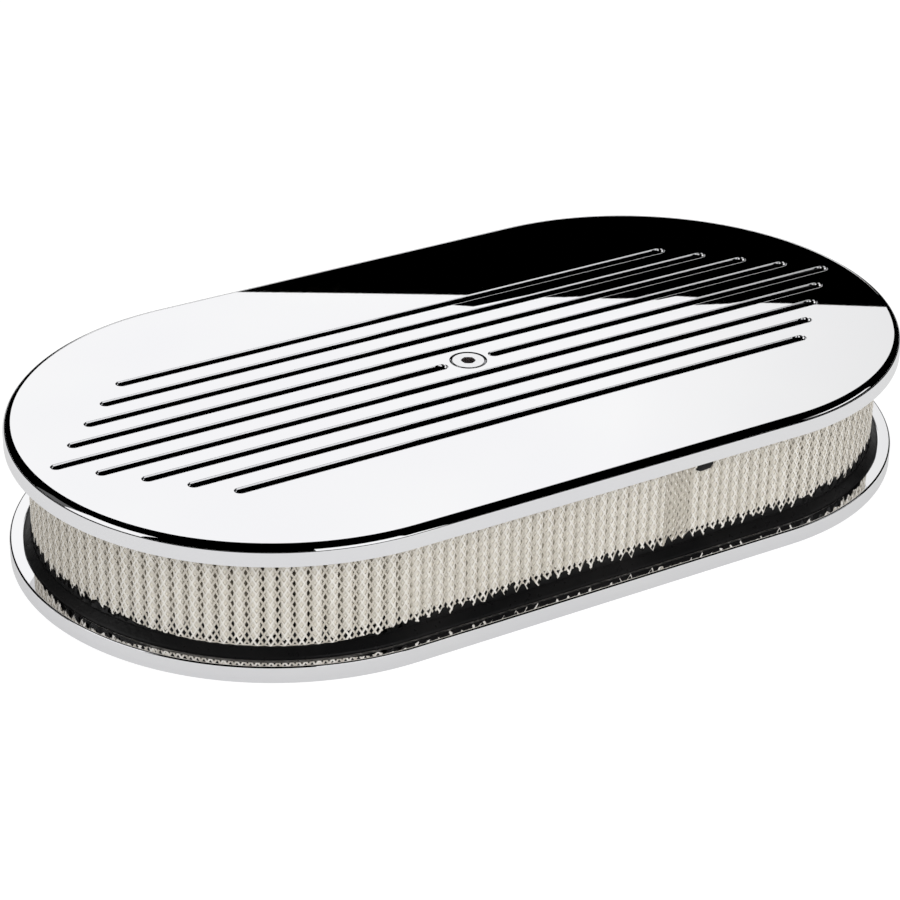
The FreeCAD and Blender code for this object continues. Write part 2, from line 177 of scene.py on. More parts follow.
def oval_plate(name, radius, bottom, top):
    """A plate with the oval outline: a block whose upright corners are rounded until they meet."""
    bpy.ops.object.select_all(action="DESELECT")
    bpy.ops.mesh.primitive_cube_add(size=1.0, location=(0, 0, (bottom + top) / 2))
    plate = bpy.context.object
    plate.name = name
    plate.scale = (2 * (END_CENTRE + radius), 2 * radius, top - bottom)
    bpy.ops.object.transform_apply(location=True, rotation=True, scale=True)
    bpy.ops.object.mode_set(mode="EDIT")
    select_only(lambda edge: abs(edge.verts[0].co.z - edge.verts[1].co.z) > (top - bottom) / 2)
    bpy.ops.mesh.bevel(offset=radius, offset_type="OFFSET", segments=ARC_STEPS, affect="EDGES",
                       clamp_overlap=False)
    bpy.ops.mesh.select_all(action="SELECT")
    bpy.ops.mesh.remove_doubles(threshold=1e-5)
    bpy.ops.mesh.normals_make_consistent(inside=False)
    bpy.ops.object.mode_set(mode="OBJECT")
    return plate


def round_edge(level, radius, segments):
    """Round the active plate's outline where it lies at one level."""
    bpy.ops.object.mode_set(mode="EDIT")
    select_only(lambda edge: max(abs(corner.co.z - level) for corner in edge.verts) < 1e-5)
    bpy.ops.mesh.bevel(offset=radius, offset_type="OFFSET", segments=segments, affect="EDGES")
    bpy.ops.object.mode_set(mode="OBJECT")


def turned(name, radius, bottom, top, sides=96):
    """An upright bar on the middle axis."""
    bpy.ops.object.select_all(action="DESELECT")
    bpy.ops.mesh.primitive_cylinder_add(vertices=sides, radius=radius, depth=top - bottom,
                                        location=(0, 0, (bottom + top) / 2))
    bpy.ops.object.transform_apply(location=True, rotation=True, scale=True)
    bpy.context.object.name = name
    return bpy.context.object


def cut_away(piece, cutter, overlapping=False):
    """Take one solid out of another."""
    bpy.ops.object.select_all(action="DESELECT")
    bpy.context.view_layer.objects.active = piece
    cut = piece.modifiers.new("cut", "BOOLEAN")
    cut.object = cutter
    cut.operation = "DIFFERENCE"
    cut.solver = "EXACT"
    cut.use_self = overlapping
    bpy.ops.object.modifier_apply(modifier=cut.name)
    bpy.data.objects.remove(cutter)


def smooth(piece, angle):
    bpy.ops.object.select_all(action="DESELECT")
    piece.select_set(True)
    bpy.context.view_layer.objects.active = piece
    bpy.ops.object.shade_smooth_by_angle(angle=math.radians(angle))


def flat_smooth(piece):
    """Smooth the rounded edges and keep the wide faces truly flat."""
    smooth(piece, 30)
    even = piece.modifiers.new("even", "WEIGHTED_NORMAL")
    even.keep_sharp = True
    even.weight = 100
    bpy.ops.object.modifier_apply(modifier=even.name)


SEAT_DEPTH = 0.001
SEAT_CLEARANCE = 0.0004
SPARE = 0.001
BORE_SPARE = 0.01
TOP_ROUND = 0.0008
FOOT_ROUND = 0.0003
NECK_STEPS = ((0.0654, 0.0035), (0.0644, 0.0051), (0.0600, 0.0080))
base_low, base_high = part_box("base_plate")
seat_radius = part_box("bottom_seal")[1].y + SEAT_CLEARANCE
base = oval_plate("polished_base", base_high.y, base_low.z, base_high.z)
round_edge(base_high.z, TOP_ROUND, 6)
round_edge(base_low.z, FOOT_ROUND, 2)
cut_away(base, oval_plate("seat", seat_radius, base_high.z - SEAT_DEPTH, base_high.z + SPARE))
for radius, depth in NECK_STEPS:
    cut_away(base, turned("neck", radius, base_low.z - SPARE, base_low.z + depth))
flat_smooth(base)
dress(base, aluminium)
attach(base, "base")
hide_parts("base_plate")


# The gasket is a flat ring die-cut from black rubber sheet. It is let into the base above the neck
# opening, where the top of the carburettor's neck presses on it.
def moulded_rubber(name, tone, roughness):
    """Black rubber or urethane with the fine mottle of a moulded skin."""
    material, finish = new_material(name)
    mottle = finish.grain(420.0, detail=5.0)
    bloom = finish.grain(35.0)
    dark = (tone, tone, tone * 1.05, 1)
    worn = (tone * 2.2, tone * 2.1, tone * 2.1, 1)
    finish.surface({
        "Base Color": finish.ramp(bloom, [(0.35, dark), (0.75, worn)]),
        "Roughness": roughness + 0.15 * mottle,
        "Specular IOR Level": 0.2,
        "Normal": finish.bump(mottle, 0.35, 0.0005),
    })
    return material


dress(nodes["neck_gasket"], moulded_rubber("gasket_rubber", 0.018, 0.6))


# The element's two end seals are black urethane, cast in a mould round the ends of the pleats and
# the screens. Each has a lip that beds in a plate's seat and slopes up to the screen.
def cast_seal(node, screen_side):
    """One end seal, its lip sloping away from the screen and a little rounded at its rim."""
    low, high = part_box(node)
    bottom, top = (low.z, high.z - FOOT) if screen_side > 0 else (low.z + FOOT, high.z)
    level = top if screen_side > 0 else bottom
    seal = oval_plate(node + "_cast", high.y, bottom, top)
    bpy.ops.object.mode_set(mode="EDIT")
    select_only(lambda edge: max(abs(corner.co.z - level) for corner in edge.verts) < 1e-5)
    bpy.ops.mesh.bevel(offset=LIP_SLOPE, offset_type="OFFSET", segments=1, affect="EDGES")
    rim = level - screen_side * LIP_SLOPE
    select_only(lambda edge: max(abs(corner.co.z - rim) for corner in edge.verts) < 1e-5)
    bpy.ops.mesh.bevel(offset=RIM_RADIUS, offset_type="OFFSET", segments=4, affect="EDGES")
    bpy.ops.object.mode_set(mode="OBJECT")
    cut_away(seal, oval_plate(node + "_bore", seal_inner, low.z - BORE_SPARE, high.z + BORE_SPARE))
    smooth(seal, 40)
    dress(seal, urethane)
    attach(seal, "element")
    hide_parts(node)


FOOT = 0.001
LIP_SLOPE = 0.003
RIM_RADIUS = 0.0006
SEAL_INNER_LIP = 0.0014
seal_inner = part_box("inner_screen")[1].y - SEAL_INNER_LIP
urethane = moulded_rubber("seal_urethane", 0.005, 0.22)
cast_seal("bottom_seal", 1)
cast_seal("top_seal", -1)


# The paper is one strip folded to and fro, with round noses outside and inside, and its ends are
# cast into the seals. It is cream filter paper, resin treated, a little darker in the folds.
PLEATS = 178
PLEAT_REACH = 0.0152
NOSE_WIDTH = 0.0043
NOSE_HEIGHT = 0.0008
NOSE_STEPS = 8
NOSE_BEHIND_SCREEN = 0.0009
VALLEY_RADIUS = 0.0005
VALLEY_STEPS = 5
FAN_LEAN = 0.28
PAPER = 0.0004
media_low, media_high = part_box("pleated_media")
screen_low, screen_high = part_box("outer_screen")
inner_radius = media_high.y - PLEAT_REACH
pleat_pitch = (4 * END_CENTRE + 2 * math.pi * inner_radius) / PLEATS
pleat_depth = screen_high.y - NOSE_BEHIND_SCREEN - inner_radius


def pleat_phase(place):
    """How far round the oval a point lies, counted in pleats from the end of the front's left half."""
    if abs(place.x) <= END_CENTRE:
        along = place.x if place.y < 0 else -place.x
        start = END_CENTRE if place.y < 0 else 3 * END_CENTRE + math.pi * inner_radius
        return (start + along) / pleat_pitch
    if place.x > 0:
        turn = math.atan2(place.y, place.x - END_CENTRE) + math.pi / 2
        return (2 * END_CENTRE + turn * inner_radius) / pleat_pitch
    turn = math.atan2(-place.y, -place.x - END_CENTRE) + math.pi / 2
    return (4 * END_CENTRE + (math.pi + turn) * inner_radius) / pleat_pitch


def oval_path(name, radius, height):
    """A closed path round the oval, made from the outline of a thin plate."""
    plate = oval_plate(name, radius, height, height + 0.001)
    bpy.ops.object.mode_set(mode="EDIT")
    select_only(lambda face: face.normal.z < -0.5, "FACE")
    bpy.ops.mesh.select_all(action="INVERT")
    bpy.ops.mesh.delete(type="FACE")
    bpy.ops.mesh.select_all(action="SELECT")
    bpy.ops.mesh.delete(type="ONLY_FACE")
    bpy.ops.object.mode_set(mode="OBJECT")
    bpy.ops.object.select_all(action="DESELECT")
    plate.select_set(True)
    bpy.ops.object.convert(target="CURVE")
    path = bpy.context.object
    path.data.splines[0].use_cyclic_u = True
    return path


def wrap(piece, path):
    """Bend a long flat piece round a closed path, and drop the path."""
    bpy.ops.object.select_all(action="DESELECT")
    bpy.context.view_layer.objects.active = piece
    bend = piece.modifiers.new("wrap", "CURVE")
    bend.object = path
    bend.deform_axis = "POS_X"
    bpy.ops.object.modifier_apply(modifier=bend.name)
    bpy.data.objects.remove(path)


def thicken(piece, thickness):
    """Turn a sheet without thickness into a solid one, half to each side."""
    bpy.context.view_layer.objects.active = piece
    solid = piece.modifiers.new("thickness", "SOLIDIFY")
    solid.thickness = thickness
    solid.offset = 0.0
    bpy.ops.object.modifier_apply(modifier=solid.name)


def pleat_section():
    """The line of one pleat from nose to nose, as distances along and depths below the nose."""
    half = []
    for step in range(NOSE_STEPS + 1):
        turn = math.pi / 2 * step / NOSE_STEPS
        half.append((NOSE_WIDTH / 2 * math.sin(turn), NOSE_HEIGHT * (1 - math.cos(turn))))
    for step in range(VALLEY_STEPS + 1):
        turn = math.pi / 2 * step / VALLEY_STEPS
        along = pleat_pitch / 2 - VALLEY_RADIUS * math.cos(turn)
        half.append((along, pleat_depth - VALLEY_RADIUS * (1 - math.sin(turn))))
    return half + [(pleat_pitch - along, depth) for along, depth in reversed(half[:-1])]


def folded_paper():
    """The flat run of all the pleats: one pleat as a grid, repeated along X and joined."""
    section = pleat_section()
    bpy.ops.object.select_all(action="DESELECT")
    bpy.ops.mesh.primitive_grid_add(x_subdivisions=len(section) - 1, y_subdivisions=1, size=1.0)
    paper = bpy.context.object
    paper.name = "folded_paper"
    for vertex in paper.data.vertices:
        along, depth = section[round((vertex.co.x + 0.5) * (len(section) - 1))]
        height = (media_high.z - media_low.z + 2 * FOOT) * (vertex.co.y + 0.5)
        vertex.co = (along, pleat_depth - depth, media_low.z - FOOT + height)
    repeat = paper.modifiers.new("repeat", "ARRAY")
    repeat.count = PLEATS
    repeat.use_relative_offset = False
    repeat.use_constant_offset = True
    repeat.constant_offset_displace = (pleat_pitch, 0, 0)
    repeat.use_merge_vertices = True
    repeat.merge_threshold = 1e-5
    bpy.ops.object.modifier_apply(modifier=repeat.name)
    return paper


def filter_paper():
    """Matt cream paper with clouds of tone and short fibres."""
    material, finish = new_material("filter_paper")
    fibres = finish.grain(900.0, stretch=(1.0, 1.0, 0.35), detail=5.0)
    cloud = finish.grain(60.0)
    finish.surface({
        "Base Color": finish.ramp(cloud * 0.6 + fibres * 0.4, [
            (0.3, (0.80, 0.76, 0.67, 1)),
            (0.7, (0.90, 0.87, 0.79, 1)),
        ]),
        "Roughness": 0.85,
        "Normal": finish.bump(fibres, 0.4, 0.0003),
    })
    return material


paper = folded_paper()
pleat_path = oval_path("pleat_path", inner_radius, 0.0)
first_pleat = pleat_phase(pleat_path.data.splines[0].points[0].co)
wrap(paper, pleat_path)

# Round the ends the pleats fan out and lean a little to one side.
for vertex in paper.data.vertices:
    if abs(vertex.co.x) > END_CENTRE:
        centre = Vector((math.copysign(END_CENTRE, vertex.co.x), 0, 0))
        outward = (vertex.co - centre).to_2d().length
        from_nose = (pleat_phase(vertex.co) - first_pleat + 0.5) % 1.0 - 0.5
        fanned = -FAN_LEAN * from_nose * (outward - inner_radius) / pleat_depth
        turn = Matrix.Rotation(fanned * pleat_pitch / inner_radius, 4, "Z")
        vertex.co = centre + turn @ (vertex.co - centre)
bpy.context.view_layer.objects.active = paper
bpy.ops.object.mode_set(mode="EDIT")
bpy.ops.mesh.select_all(action="SELECT")
bpy.ops.mesh.remove_doubles(threshold=1e-5)
bpy.ops.mesh.normals_make_consistent(inside=False)
bpy.ops.object.mode_set(mode="OBJECT")
thicken(paper, PAPER)
smooth(paper, 50)
dress(paper, filter_paper())
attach(paper, "element")
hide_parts("pleated_media")


# Before it set, the liquid urethane climbed up the pleats' valleys, through the screen and over it,
# and left a ragged edge. Round the front's left end it stayed behind the strands.
CALM_PLEAT = 168
CALM_PLEATS = 10
FINE_DRIPS = 700.0
BROAD_DRIPS = 200.0
EDGE_ROOT = 0.0005
LOWEST_RISE = -0.0003
STRAIGHT_CUTS = 220
ARC_CUTS = 7


def oval_ring(name, outer, inner, bottom, top):
    """The upright wall between two ovals."""
    ring = oval_plate(name, outer, bottom, top)
    cut_away(ring, oval_plate(name + "_bore", inner, bottom - BORE_SPARE, top + BORE_SPARE))
    return ring


def valley_share(place):
    """0 over the nose of a pleat, 1 over the middle of a valley."""
    return 0.5 - 0.5 * math.cos(2 * math.pi * (pleat_phase(place) - first_pleat))


def calm_share(place):
    """1 round the front's left end, where the liquid stayed low; 0 where it climbed over the screen."""
    away = (pleat_phase(place) - CALM_PLEAT + PLEATS / 2) % PLEATS - PLEATS / 2
    return math.exp(-(away / CALM_PLEATS) ** 4)


def cast_edge(name, front, back, height, climb, spatter, calm_climb, drop):
    """A wall of urethane above the seal, between two depths behind the screen's face. It rises by
    height everywhere, by climb over the valleys and by spatter at random, but only by calm_climb
    over the valleys where it stayed low, and it sinks by drop into them as the screen does."""
    foot = media_low.z - FOOT
    edge = oval_ring(name, screen_high.y - front, screen_high.y - back, foot - EDGE_ROOT, foot + height)
    bpy.ops.object.mode_set(mode="EDIT")
    select_only(lambda side: side.calc_length() > 0.05)
    bpy.ops.mesh.subdivide(number_cuts=STRAIGHT_CUTS)
    select_only(lambda side: side.calc_length() > 0.002
                and abs(side.verts[0].co.z - side.verts[1].co.z) < 1e-5)
    bpy.ops.mesh.subdivide(number_cuts=ARC_CUTS)
    bpy.ops.object.mode_set(mode="OBJECT")
    for vertex in edge.data.vertices:
        middle = math.copysign(min(abs(vertex.co.x), END_CENTRE), vertex.co.x)
        outward = vertex.co - Vector((middle, 0, vertex.co.z))
        vertex.co -= outward.normalized() * drop * valley_share(vertex.co)
        if vertex.co.z > foot:
            drips = noise.noise(vertex.co * FINE_DRIPS) + 0.5 * noise.noise(vertex.co * BROAD_DRIPS)
            calm = calm_share(vertex.co)
            wild_rise = height + climb * valley_share(vertex.co) + spatter * drips
            calm_rise = calm_climb * (valley_share(vertex.co) + 0.25 * drips)
            vertex.co.z = foot + max(calm * calm_rise + (1 - calm) * wild_rise, LOWEST_RISE)
    smooth(edge, 40)
    dress(edge, urethane)
    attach(edge, "element")


cast_edge("urethane_in_valleys", front=0.0012, back=0.0150,
          height=0.0045, climb=0.0, spatter=0.0024, calm_climb=0.0070, drop=0.0)
cast_edge("urethane_in_screen", front=0.0004, back=0.0010,
          height=0.0026, climb=0.0034, spatter=0.0012, calm_climb=0.0056, drop=0.0005)
cast_edge("urethane_on_screen", front=0.00003, back=0.0006,
          height=0.0009, climb=0.0036, spatter=0.0022, calm_climb=0.0, drop=0.0002)


# The screens are expanded metal, slit and stretched into diamonds, flattened and coated cream,
# then wrapped round the pleats, which they touch at every nose, and cast into the seals.
CELL_WIDTH = 0.00255
CELL_HEIGHT = 0.0045
STRAND = 0.0008
SCREEN_THICKNESS = 0.0004
SCREEN_INSET = 0.0004
VALLEY_DROP = 0.0005


def diamond_sheet(name, columns, rows, cell_width, cell_height):
    """A flat sheet of diamonds, standing along X: a grid whose squares are split, then re-joined."""
    bpy.ops.object.select_all(action="DESELECT")
    bpy.ops.mesh.primitive_grid_add(x_subdivisions=columns, y_subdivisions=rows, size=1.0)
    sheet = bpy.context.object
    sheet.name = name
    sheet.scale = (columns * cell_width, rows * cell_height, 1.0)
    sheet.location = (columns * cell_width / 2, 0, 0)
    bpy.ops.object.transform_apply(location=True, rotation=True, scale=True)
    bpy.ops.object.mode_set(mode="EDIT")
    bpy.ops.mesh.select_all(action="SELECT")
    bpy.ops.mesh.poke()
    select_only(lambda edge: not edge.is_boundary and (
        abs(edge.verts[0].co.x - edge.verts[1].co.x) < 1e-6
        or abs(edge.verts[0].co.y - edge.verts[1].co.y) < 1e-6))
    bpy.ops.mesh.dissolve_edges(use_verts=False)
    bpy.ops.mesh.select_all(action="SELECT")
    bpy.ops.mesh.inset(thickness=STRAND / 2, use_individual=True, use_boundary=True)
    bpy.ops.mesh.delete(type="FACE")
    bpy.ops.object.mode_set(mode="OBJECT")
    return sheet


def coated_screen():
    """Cream coating, with a painted highlight that makes it paler on the knuckles over the pleats' noses.
    """
    material, finish = new_material("screen_coating")
    speckle = finish.grain(300.0, detail=4.0)
    patch = finish.grain(24.0)
    mesh_place = finish.add("ShaderNodeUVMap", {"uv_map": "knuckles"}).outputs["UV"]
    parts = finish.add("ShaderNodeSeparateXYZ", {}, {"Vector": mesh_place})
    knuckle = Shade(finish, parts.outputs["X"])
    ridge = Shade(finish, parts.outputs["Y"])
    # Painted highlight: the colour is lightened where a knuckle lies over a nose.
    knuckle_highlight = knuckle * ridge
    tone = 0.3 * speckle + 0.3 * patch + 0.55 * knuckle_highlight
    finish.surface({
        "Base Color": finish.ramp(tone, [
            (0.20, (0.57, 0.527, 0.45, 1)),
            (0.42, (0.70, 0.655, 0.58, 1)),
            (0.72, (0.98, 0.95, 0.89, 1)),
        ]),
        "Roughness": 0.35 + 0.2 * speckle,
        "Normal": finish.bump(speckle, 0.3, 0.0003),
    })
    return material


def mark_knuckles(sheet, cell_width, cell_height):
    """Keep, for the coating's painted highlight, how near each corner of the flat sheet is to a crossing
    of strands.
    """
    layer = sheet.data.uv_layers.new(name="knuckles")
    for loop in sheet.data.loops:
        place = sheet.data.vertices[loop.vertex_index].co
        across = math.cos(2 * math.pi * place.x / cell_width)
        up = math.cos(2 * math.pi * place.y / cell_height)
        layer.data[loop.index].uv = (max(across * up, 0.0), 0.0)
    sheet.data.uv_layers.active = layer


def lay_on_pleats(screen, drop):
    """Let the screen sink a little into every valley between the noses."""
    for vertex in screen.data.vertices:
        end = Vector((math.copysign(END_CENTRE, vertex.co.x), 0, vertex.co.z))
        outward = vertex.co - end if abs(vertex.co.x) > END_CENTRE else Vector((0, vertex.co.y, 0))
        vertex.co -= outward.normalized() * drop * valley_share(vertex.co)
    # Keep how near each corner lies to a nose, for the coating's painted highlight.
    layer = screen.data.uv_layers["knuckles"]
    for loop in screen.data.loops:
        ridge = 1 - valley_share(screen.data.vertices[loop.vertex_index].co)
        layer.data[loop.index].uv.y = ridge


def wrapped_screen(name, radius, cell_width, cell_height, node, drop):
    """Wrap one diamond sheet round the oval."""
    low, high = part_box(node)
    length = 4 * END_CENTRE + 2 * math.pi * radius
    columns = round(length / cell_width)
    height = high.z - low.z + 2 * FOOT
    rows = round(height / cell_height)
    screen = diamond_sheet(name, columns, rows, length / columns, height / rows)
    mark_knuckles(screen, length / columns, height / rows)
    for vertex in screen.data.vertices:
        across = vertex.co.y
        vertex.co.y = 0.0
        vertex.co.z = (low.z + high.z) / 2 + across
    wrap(screen, oval_path(name + "_path", radius, 0.0))
    lay_on_pleats(screen, drop)
    thicken(screen, SCREEN_THICKNESS)
    dress(screen, screen_finish)
    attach(screen, "element")
    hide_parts(node)


screen_finish = coated_screen()
outer_mid = screen_high.y - SCREEN_INSET
inner_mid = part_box("inner_screen")[1].y - SCREEN_INSET
wrapped_screen("outer_diamond_screen", outer_mid, CELL_WIDTH, CELL_HEIGHT, "outer_screen", VALLEY_DROP)
wrapped_screen("inner_diamond_screen", inner_mid, 2 * CELL_WIDTH, 2 * CELL_HEIGHT, "inner_screen", 0.0)


# The outer screen is one strip of the same metal, and on the front its last few cells lap over its
# other end. They were pressed flat onto it, so the painted highlight on their knuckles is turned
# round into a faint painted shade there.
LAP_COLUMNS = 5
LAP_ROWS = 8
LAP_START = 0.0296
LAP_INSET = 0.0003
LAP_DROP = 0.0004
LAP_HIGHLIGHT_FACTOR = -0.35
lap_height = (screen_high.z - screen_low.z) / LAP_ROWS
lap = diamond_sheet("screen_lap", LAP_COLUMNS, LAP_ROWS, CELL_WIDTH, lap_height)
mark_knuckles(lap, CELL_WIDTH, lap_height)
screen_middle = (screen_low.z + screen_high.z) / 2
for vertex in lap.data.vertices:
    vertex.co = (vertex.co.x + LAP_START, LAP_INSET - screen_high.y, screen_middle + vertex.co.y)
lay_on_pleats(lap, LAP_DROP)
# Painted shade: the lap's knuckle highlight mark is made negative, so the coating darkens there.
for loop in lap.data.loops:
    lap.data.uv_layers["knuckles"].data[loop.index].uv.x *= LAP_HIGHLIGHT_FACTOR
bpy.ops.object.select_all(action="DESELECT")
thicken(lap, SCREEN_THICKNESS)
dress(lap, screen_finish)
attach(lap, "element")


# A drip of the same urethane ran down from the top seal when the element was cast, and has set
# against the screen beside the lap, just under the lid.
DRIP_MIDDLE = Vector((0.0485, 0.0003 - screen_high.y, 0.0437))
DRIP_HALF = Vector((0.0040, 0.0008, 0.0023))
DRIP_LEAN = 0.0006
SMALL_LUMPS = 0.12
LARGE_LUMPS = 0.25
bpy.ops.object.select_all(action="DESELECT")
bpy.ops.mesh.primitive_ico_sphere_add(subdivisions=4, radius=1.0)
drip = bpy.context.object
drip.name = "urethane_drip"
for vertex in drip.data.vertices:
    place = vertex.co
    bulge = 1.0 + LARGE_LUMPS * noise.noise(place * 1.7) + SMALL_LUMPS * noise.noise(place * 4.0)
    wide = math.copysign(abs(place.x) ** 0.6, place.x)
    tall = math.copysign(abs(place.z) ** 0.7, place.z)
    swollen = Vector((wide * DRIP_HALF.x, place.y * DRIP_HALF.y, tall * DRIP_HALF.z)) * bulge
    vertex.co = DRIP_MIDDLE + swollen + Vector((DRIP_LEAN * place.z, 0, 0))
smooth(drip, 60)
dress(drip, urethane)
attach(drip, "element")


# The lid is a thick oval plate of the same polished aluminium. Its edge is rounded over, and nine
# grooves are milled along it with a ball cutter, the middle one broken for the nut.
lid_low, lid_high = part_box("lid")
EDGE_RADIUS = 0.0033
GROOVE_PITCH = 0.0127
GROOVE_RADIUS = 0.0024
GROOVE_DEPTH = 0.0022
GROOVE_REACH = 0.186
GROOVE_STEP = 0.0129
CENTRE_GAP = 0.0099
ROLL_WIDTH = 0.00033
ROLL_DEPTH = 0.00005
NUT_CLEARANCE = 0.00035
HOLE_RADIUS = 0.0053
CHAMFER = 0.0017
LID_SPARE = 0.002
lid = oval_plate("polished_lid", lid_high.y, lid_low.z, lid_high.z)
round_edge(lid_high.z, EDGE_RADIUS, 9)
round_edge(lid_low.z, 0.0004, 2)
cut_away(lid, oval_plate("seat", seat_radius, lid_low.z - LID_SPARE, lid_low.z + SEAT_DEPTH))


def stretch_ends(near, far, across):
    """Pull the two halves of the new primitive apart along X, to the ends of a groove."""
    cutter = bpy.context.object
    reach = max(v.co.x for v in cutter.data.vertices)
    for vertex in cutter.data.vertices:
        vertex.co.x += far - reach if vertex.co.x > 0 else near + reach
        vertex.co.y += across
    return cutter


def groove_cutters(near, far, across):
    """The ball cutter's path, and the faint roll-off that polishing leaves along its edges."""
    half_width = math.sqrt(GROOVE_RADIUS ** 2 - (GROOVE_RADIUS - GROOVE_DEPTH) ** 2)
    bpy.ops.object.select_all(action="DESELECT")
    bpy.ops.mesh.primitive_uv_sphere_add(segments=32, ring_count=17, radius=GROOVE_RADIUS)
    bpy.context.object.data.transform(Matrix.Rotation(math.pi / 2, 4, "Y"))
    height = lid_high.z - GROOVE_DEPTH + GROOVE_RADIUS
    bpy.context.object.data.transform(Matrix.Translation((0, 0, height)))
    path = stretch_ends(near, far, across)
    bpy.ops.object.select_all(action="DESELECT")
    bpy.ops.mesh.primitive_cone_add(vertices=32, radius1=half_width - ROLL_DEPTH / 10,
                                    radius2=half_width + 2 * ROLL_WIDTH, depth=2 * ROLL_DEPTH)
    bpy.context.object.data.transform(Matrix.Rotation(math.pi / 32, 4, "Z"))
    bpy.context.object.data.transform(Matrix.Translation((0, 0, lid_high.z)))
    flare = stretch_ends(near, far, across)
    return [path, flare]


cutters = groove_cutters(CENTRE_GAP, GROOVE_REACH, 0.0)
cutters += groove_cutters(-GROOVE_REACH, -CENTRE_GAP, 0.0)
for row in range(1, 5):
    tip = GROOVE_REACH - row * GROOVE_STEP
    for side in (-1, 1):
        cutters += groove_cutters(-tip, tip, side * row * GROOVE_PITCH)
nut_low, nut_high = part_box("hold_down_nut")
washer_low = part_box("nut_washer")[0]
nut_bore = nut_high.x + NUT_CLEARANCE
cutters.append(turned("counterbore", nut_bore, washer_low.z, lid_high.z + SPARE, sides=64))
cutters.append(turned("hole", HOLE_RADIUS, lid_low.z - LID_SPARE, washer_low.z + SPARE, sides=64))
bpy.ops.object.select_all(action="DESELECT")
bpy.ops.mesh.primitive_cone_add(vertices=64, radius1=nut_high.x, radius2=nut_high.x + CHAMFER,
                                depth=CHAMFER, location=(0, 0, lid_high.z))
bpy.ops.object.transform_apply(location=True, rotation=True, scale=True)
cutters.append(bpy.context.object)
bpy.ops.object.select_all(action="DESELECT")
for cutter in cutters:
    cutter.select_set(True)
bpy.context.view_layer.objects.active = cutters[0]
bpy.ops.object.join()
cut_away(lid, cutters[0], overlapping=True)
flat_smooth(lid)
dress(lid, aluminium)
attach(lid, "lid")
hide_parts("lid")


# The hold-down nut is turned steel with a hex socket, plated bright, and its head sits flush in
# the lid on a rubber washer. The socket is left dull, as the polishing wheel can't reach into it,
# and its colour is darkened as painted shade for its depth.
SOCKET_WIDTH = 0.0055
SOCKET_DEPTH = 0.0036
SOCKET_CHAMFER = 0.0006
SOCKET_DARK_RADIUS = 0.0034
WASHER_HEIGHT = 0.0008
BARREL_RADIUS = 0.005
THREAD_RADIUS = 0.0026
THREAD_DEPTH = 0.0115


def plated_steel():
    """Bright plating with faint turning marks; dull in the socket, where the colour is darkened as painted
    shade.
    """
    material, finish = new_material("nut_steel")
    turning = finish.grain(500.0, stretch=(1.0, 1.0, 0.2), detail=3.0)
    place = finish.add("ShaderNodeTexCoord").outputs["Object"]
    parts = finish.add("ShaderNodeSeparateXYZ", {}, {"Vector": place})
    east, north, height = (Shade(finish, parts.outputs[axis]) for axis in "XYZ")
    inside = (east * east + north * north).below(SOCKET_DARK_RADIUS ** 2)
    inside = inside * height.below(nut_high.z - SOCKET_CHAMFER / 2)
    bright = finish.ramp(turning, [(0.3, (0.84, 0.84, 0.86, 1)), (0.7, (0.89, 0.89, 0.90, 1))])
    # Painted shade: the socket's colour is darkened for the shade of its depth; its roughness is the real
    # dull finish.
    color = finish.add("ShaderNodeMix", {"data_type": "RGBA"}, {
        0: inside,
        6: bright,
        7: (0.55, 0.49, 0.48, 1),
    }).outputs[2]
    finish.surface({
        "Base Color": color,
        "Metallic": 1.0,
        "Roughness": 0.03 + 0.04 * turning + 0.45 * inside,
        "Normal": finish.bump(turning, 0.01, 0.0001),
    })
    return material


nut = turned("turned_nut", nut_high.x, washer_low.z + WASHER_HEIGHT, nut_high.z, sides=64)
round_edge(nut_high.z, 0.0004, 3)
stem = turned("barrel", BARREL_RADIUS, nut_low.z, washer_low.z + SPARE, sides=64)
bpy.ops.object.select_all(action="DESELECT")
bpy.context.view_layer.objects.active = nut
barrel = nut.modifiers.new("barrel", "BOOLEAN")
barrel.object = stem
barrel.operation = "UNION"
barrel.solver = "EXACT"
bpy.ops.object.modifier_apply(modifier=barrel.name)
bpy.data.objects.remove(stem)
cut_away(nut, turned("thread", THREAD_RADIUS, nut_low.z - SPARE, nut_low.z + THREAD_DEPTH, sides=32))
corner_radius = SOCKET_WIDTH / math.sqrt(3)
cut_away(nut, turned("socket", corner_radius, nut_high.z - SOCKET_DEPTH, nut_high.z + SPARE, sides=6))
bpy.ops.object.select_all(action="DESELECT")
bpy.ops.mesh.primitive_cone_add(vertices=64, radius1=corner_radius - SOCKET_CHAMFER, radius2=corner_radius,
                                depth=SOCKET_CHAMFER, location=(0, 0, nut_high.z))
bpy.ops.object.transform_apply(location=True, rotation=True, scale=True)
cut_away(nut, bpy.context.object)
flat_smooth(nut)
dress(nut, plated_steel())
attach(nut, "nut")
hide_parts("hold_down_nut")
dress(nodes["nut_washer"], moulded_rubber("washer_rubber", 0.018, 0.6))


# The object stands on a plain white floor under soft lamps. The polished metal mirrors a dark studio
# with a few bright panels in it, and the floor near the object.
FLOOR_SIZE = 12.0
FLOOR_DROP = 0.0002
MIRRORED_FLOOR = 0.5
MIRRORED_GROUND = 0.75
ROOM_LIGHT = 0.62
SILL_BOW = 0.13
FADE = 1.26


